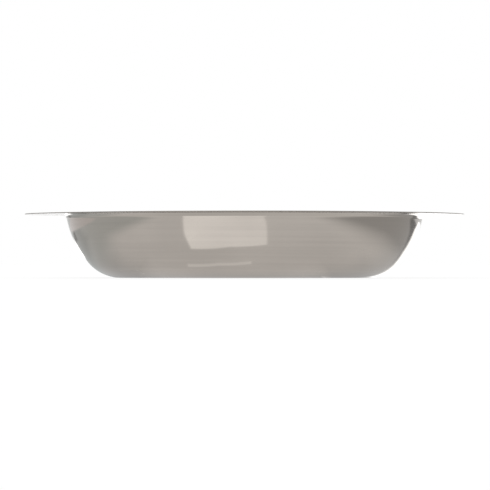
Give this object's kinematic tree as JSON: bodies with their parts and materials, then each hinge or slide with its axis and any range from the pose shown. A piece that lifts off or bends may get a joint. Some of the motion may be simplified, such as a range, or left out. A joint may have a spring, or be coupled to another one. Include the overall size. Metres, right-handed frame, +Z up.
{
  "type": "gold pan",
  "caption": "Shallow round gold pan in one drawn piece of thin stainless steel, with a flat base, a curved flaring wall and a broad flat rim.",
  "frame": {"origin": "centre of the underside of the flat base, on the pan's axis", "axes": "+Z up along the pan's axis, out of its mouth; the pan is the same all the way round, so +X and +Y are free"},
  "size_m": [0.406, 0.406, 0.06],
  "materials": {
    "steel": "polished stainless steel with fine circular polishing lines"
  },
  "bodies": {
    "root": {"pan": "steel"}
  },
  "joints": []
}
